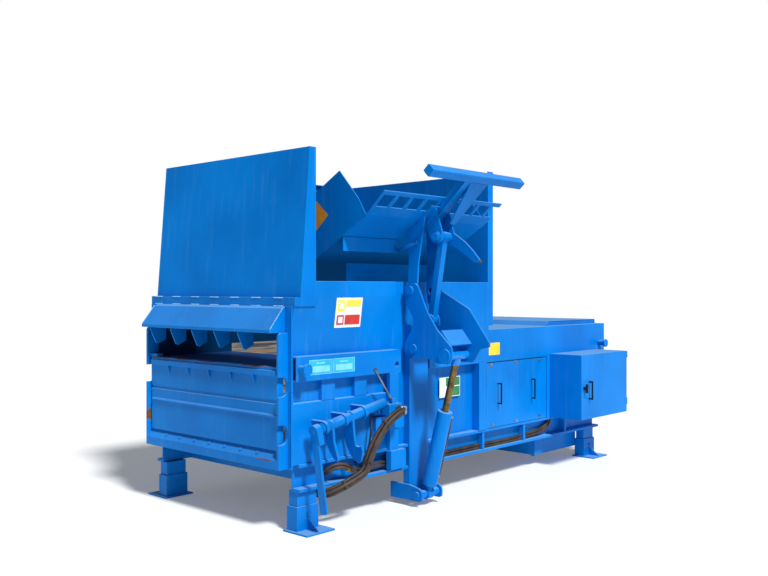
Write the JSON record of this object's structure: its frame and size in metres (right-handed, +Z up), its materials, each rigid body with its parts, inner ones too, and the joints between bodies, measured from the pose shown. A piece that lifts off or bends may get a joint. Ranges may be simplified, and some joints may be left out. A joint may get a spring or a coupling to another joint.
{
  "type": "recycling baler",
  "caption": "Blue horizontal baler with an open hopper, a swinging bale door, a side lifter that tips wheeled bins and a switch cabinet.",
  "frame": {"origin": "on the floor under the middle of the baler's overall box", "axes": "+Z up; +X from the bale door to the rear plate; -Y is the side with the lifter and the cabinet"},
  "size_m": [4.143, 2.292, 2.55],
  "materials": {
    "blue_paint": "gloss enamel on steel plate",
    "bare_steel": "turned and plated steel",
    "rod_bronze": "oily bronze-coloured rod",
    "worn_steel": "scoured steel with thin rust",
    "black_plastic": "moulded black plastic"
  },
  "bodies": {
    "root": {"access_panel_far": "blue_paint", "access_panel_near": "blue_paint", "base_cross_beams": "blue_paint", "base_rail_far": "blue_paint", "base_rail_near": "blue_paint", "cabinet_shell": "blue_paint", "chamber_floor": "worn_steel", "control_valve": "blue_paint", "drip_tray": "blue_paint", "far_rear_side": "blue_paint", "far_wall": "blue_paint", "foot_front_far": "blue_paint", "foot_front_near": "blue_paint", "foot_pins": "bare_steel", "foot_rear_far": "blue_paint", "foot_rear_near": "blue_paint", "front_frame_far": "blue_paint", "front_frame_near": "blue_paint", "front_sill": "blue_paint", "hatch_lid": "blue_paint", "hood": "blue_paint", "hopper_far": "blue_paint", "hopper_front": "blue_paint", "hopper_rear": "blue_paint", "label_beam": "blue_paint", "lift_mast": "blue_paint", "lifting_bollards": "blue_paint", "mast_pins": "bare_steel", "near_rear_side": "blue_paint", "near_wall": "blue_paint", "oil_tank": "blue_paint", "pump_motor": "blue_paint", "ram_barrel": "blue_paint", "ram_bulkhead": "blue_paint", "rear_plate": "blue_paint", "shaft_bearings": "blue_paint", "sill_bolts": "bare_steel", "top_deck": "blue_paint", "valve_stand": "blue_paint"},
    "platen": {"platen": "worn_steel", "ram_rod": "bare_steel"},
    "bale_door": {"bale_door": "blue_paint"},
    "cabinet_door": {"cabinet_door": "blue_paint"},
    "cabinet_latch": {"cabinet_latch": "black_plastic"},
    "lock_shaft": {"lock_shaft": "blue_paint", "hand_lever": "blue_paint"},
    "valve_lever": {"valve_lever": "blue_paint"},
    "crank": {"lift_crank": "blue_paint"},
    "tie_link": {"tie_link": "blue_paint"},
    "tipping_frame": {"tilt_arms": "blue_paint", "tipping_chute": "blue_paint", "chute_cheek_front": "blue_paint", "chute_cheek_rear": "blue_paint", "tee_bar": "blue_paint", "hub_pin": "bare_steel"},
    "lift_barrel": {"lift_barrel": "blue_paint"},
    "lift_rod": {"lift_rod": "rod_bronze"}
  },
  "joints": [
    {"name": "platen_push", "type": "slide", "parent": "root", "child": "platen", "axis": [-1, 0, 0], "range_m": [0, 1]},
    {"name": "door_swing", "type": "hinge", "parent": "root", "child": "bale_door", "pos_m": [-1.9685, 0.92, 0.8], "axis": [0, 0, 1], "range_deg": [-100, 0]},
    {"name": "cabinet_door_swing", "type": "hinge", "parent": "root", "child": "cabinet_door", "pos_m": [1.9268, -0.8925, 0.7], "axis": [0, 0, 1], "range_deg": [0, 110]},
    {"name": "cabinet_latch_turn", "type": "hinge", "parent": "cabinet_door", "child": "cabinet_latch", "pos_m": [1.1465, -0.9, 0.725], "axis": [0, 1, 0], "range_deg": [0, 90]},
    {"name": "lock_shaft_turn", "type": "hinge", "parent": "root", "child": "lock_shaft", "pos_m": [-1.8195, -0.66, 0.674], "axis": [0.9833, 0, 0.1822], "range_deg": [-55, 0]},
    {"name": "valve_lever_tilt", "type": "hinge", "parent": "root", "child": "valve_lever", "pos_m": [-1.0865, -0.66, 0.805], "axis": [0, 1, 0], "range_deg": [-15, 15], "stiffness_Nm_per_rad": 12},
    {"name": "lifter_crank", "type": "hinge", "parent": "root", "child": "crank", "pos_m": [-0.7035, -0.656, 1.158], "axis": [1, 0, 0], "range_deg": [0, 64]},
    {"name": "lifter_link", "type": "hinge", "parent": "root", "child": "tie_link", "pos_m": [-0.7035, -0.714, 1.365], "axis": [1, 0, 0], "range_deg": [0, 120.7]},
    {"name": "lifter_frame", "type": "hinge", "parent": "tie_link", "child": "tipping_frame", "pos_m": [-0.7035, -0.818, 1.97], "axis": [1, 0, 0], "range_deg": [0, 10.96]},
    {"name": "lifter_barrel_tilt", "type": "hinge", "parent": "root", "child": "lift_barrel", "pos_m": [-0.7035, -0.668, 0.088], "axis": [1, 0, 0], "range_deg": [-9.57, 0]},
    {"name": "lifter_rod", "type": "slide", "parent": "lift_barrel", "child": "lift_rod", "axis": [0, -0.2608, 0.9654], "range_m": [-0.2717, 0]}
  ],
  "couplings": [
    {"joint": "lifter_link", "follows": "lifter_crank", "ratio": 1.8812},
    {"joint": "lifter_frame", "follows": "lifter_crank", "ratio": 0.16971},
    {"joint": "lifter_barrel_tilt", "follows": "lifter_crank", "ratio": -0.14796},
    {"joint": "lifter_rod", "follows": "lifter_crank", "m_per_rad": -0.2423}
  ]
}
